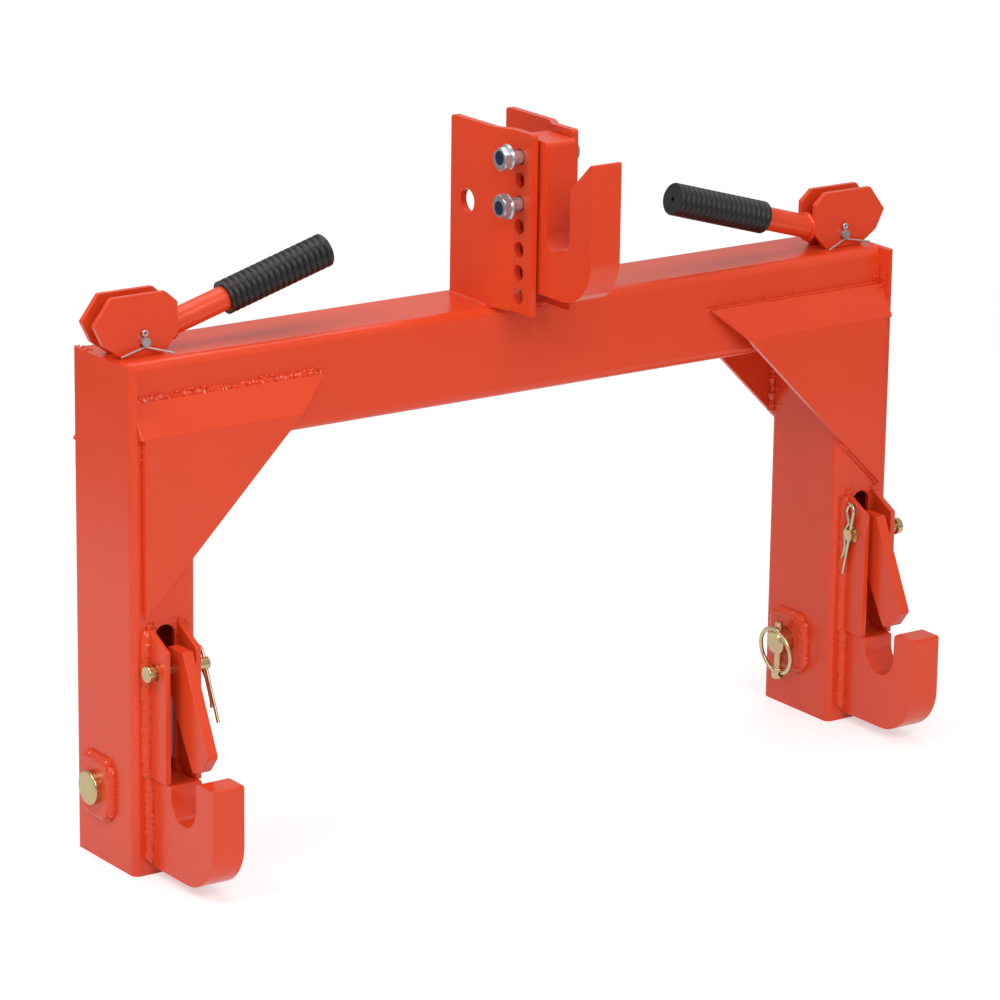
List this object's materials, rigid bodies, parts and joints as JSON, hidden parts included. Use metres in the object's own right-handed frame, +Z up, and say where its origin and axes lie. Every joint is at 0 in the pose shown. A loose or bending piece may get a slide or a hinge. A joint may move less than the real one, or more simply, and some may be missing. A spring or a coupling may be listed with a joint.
{
  "type": "three point quick hitch",
  "caption": "Welded tractor coupler frame with a drilled mast, a bolted top hook, lower hooks with spring latches and side release levers.",
  "frame": {"origin": "middle of the footprint at the bottom of the legs", "axes": "+Z up, -Y toward the implement side where the hooks open, +Y toward the tractor, X across"},
  "size_m": [0.7818, 0.1924, 0.5625],
  "materials": {
    "paint": "gloss orange-red enamel",
    "yellow_zinc": "yellow zinc plate",
    "bright_zinc": "bright zinc plate",
    "clip_wire": "plated spring wire",
    "bare_steel": "bare mill steel",
    "rubber": "moulded black rubber"
  },
  "bodies": {
    "frame": {"left_front_gusset": "paint", "left_inner_ear": "paint", "left_inner_pad": "paint", "left_latch_clip": "clip_wire", "left_latch_pin": "yellow_zinc", "left_latch_washers": "yellow_zinc", "left_leg": "paint", "left_lift_pin": "yellow_zinc", "left_lower_hook": "paint", "left_lynch_pin": "yellow_zinc", "left_mast_plate": "paint", "left_outer_ear": "paint", "left_outer_pad": "paint", "left_rear_gusset": "paint", "left_rod_spring": "bare_steel", "right_front_gusset": "paint", "right_inner_ear": "paint", "right_inner_pad": "paint", "right_latch_clip": "clip_wire", "right_latch_pin": "yellow_zinc", "right_latch_washers": "yellow_zinc", "right_leg": "paint", "right_lift_pin": "yellow_zinc", "right_lower_hook": "paint", "right_lynch_pin": "yellow_zinc", "right_mast_plate": "paint", "right_outer_ear": "paint", "right_outer_pad": "paint", "right_rear_gusset": "paint", "right_rod_spring": "bare_steel", "top_beam": "paint", "top_hook": "paint", "top_hook_bolts": "bright_zinc", "top_hook_nuts": "bright_zinc"},
    "left_release_lever": {"left_front_cam_plate": "paint", "left_back_cam_plate": "paint", "left_handle_bar": "paint", "left_handle_grip": "rubber", "left_lever_pin": "bright_zinc", "left_split_pin": "bright_zinc"},
    "left_rod": {"left_release_rod": "bare_steel", "left_link_pin": "bare_steel"},
    "left_latch_crank": {"left_latch": "paint"},
    "left_snap_ring": {"left_lynch_ring": "clip_wire"},
    "right_release_lever": {"right_front_cam_plate": "paint", "right_back_cam_plate": "paint", "right_handle_bar": "paint", "right_handle_grip": "rubber", "right_lever_pin": "bright_zinc", "right_split_pin": "bright_zinc"},
    "right_rod": {"right_release_rod": "bare_steel", "right_link_pin": "bare_steel"},
    "right_latch_crank": {"right_latch": "paint"},
    "right_snap_ring": {"right_lynch_ring": "clip_wire"}
  },
  "joints": [
    {"name": "left_rod_lift", "type": "slide", "parent": "frame", "child": "left_rod", "axis": [0, 0, 1], "range_m": [0, 0.02108], "stiffness_N_per_m": 900, "springref_m": -0.02, "deforming": ["left_rod_spring"]},
    {"name": "left_lever_turn", "type": "hinge", "parent": "left_rod", "child": "left_release_lever", "pos_m": [-0.347, 0.04465, 0.4255], "axis": [0, -1, 0], "range_deg": [0, 62]},
    {"name": "left_latch_swing", "type": "hinge", "parent": "frame", "child": "left_latch_crank", "pos_m": [-0.347, -0.01185, 0.1715], "axis": [1, 0, 0], "range_deg": [0, 31.5]},
    {"name": "left_ring_snap", "type": "hinge", "parent": "frame", "child": "left_snap_ring", "pos_m": [-0.30725, 0.05415, 0.033], "axis": [0, 1, 0], "range_deg": [0, 80], "stiffness_Nm_per_rad": 0.06, "springref_deg": -11.46},
    {"name": "right_rod_lift", "type": "slide", "parent": "frame", "child": "right_rod", "axis": [0, 0, 1], "range_m": [0, 0.02108], "stiffness_N_per_m": 900, "springref_m": -0.02, "deforming": ["right_rod_spring"]},
    {"name": "right_lever_turn", "type": "hinge", "parent": "right_rod", "child": "right_release_lever", "pos_m": [0.347, 0.04465, 0.4255], "axis": [0, 1, 0], "range_deg": [0, 62]},
    {"name": "right_latch_swing", "type": "hinge", "parent": "frame", "child": "right_latch_crank", "pos_m": [0.347, -0.01185, 0.1715], "axis": [1, 0, 0], "range_deg": [0, 31.5]},
    {"name": "right_ring_snap", "type": "hinge", "parent": "frame", "child": "right_snap_ring", "pos_m": [0.30725, 0.05415, 0.033], "axis": [0, -1, 0], "range_deg": [0, 80], "stiffness_Nm_per_rad": 0.06, "springref_deg": -11.46}
  ],
  "couplings": [
    {"joint": "left_rod_lift", "follows": "left_lever_turn", "m_per_rad": 0.0192},
    {"joint": "left_latch_swing", "follows": "left_lever_turn", "ratio": 0.5},
    {"joint": "right_rod_lift", "follows": "right_lever_turn", "m_per_rad": 0.0192},
    {"joint": "right_latch_swing", "follows": "right_lever_turn", "ratio": 0.5}
  ]
}
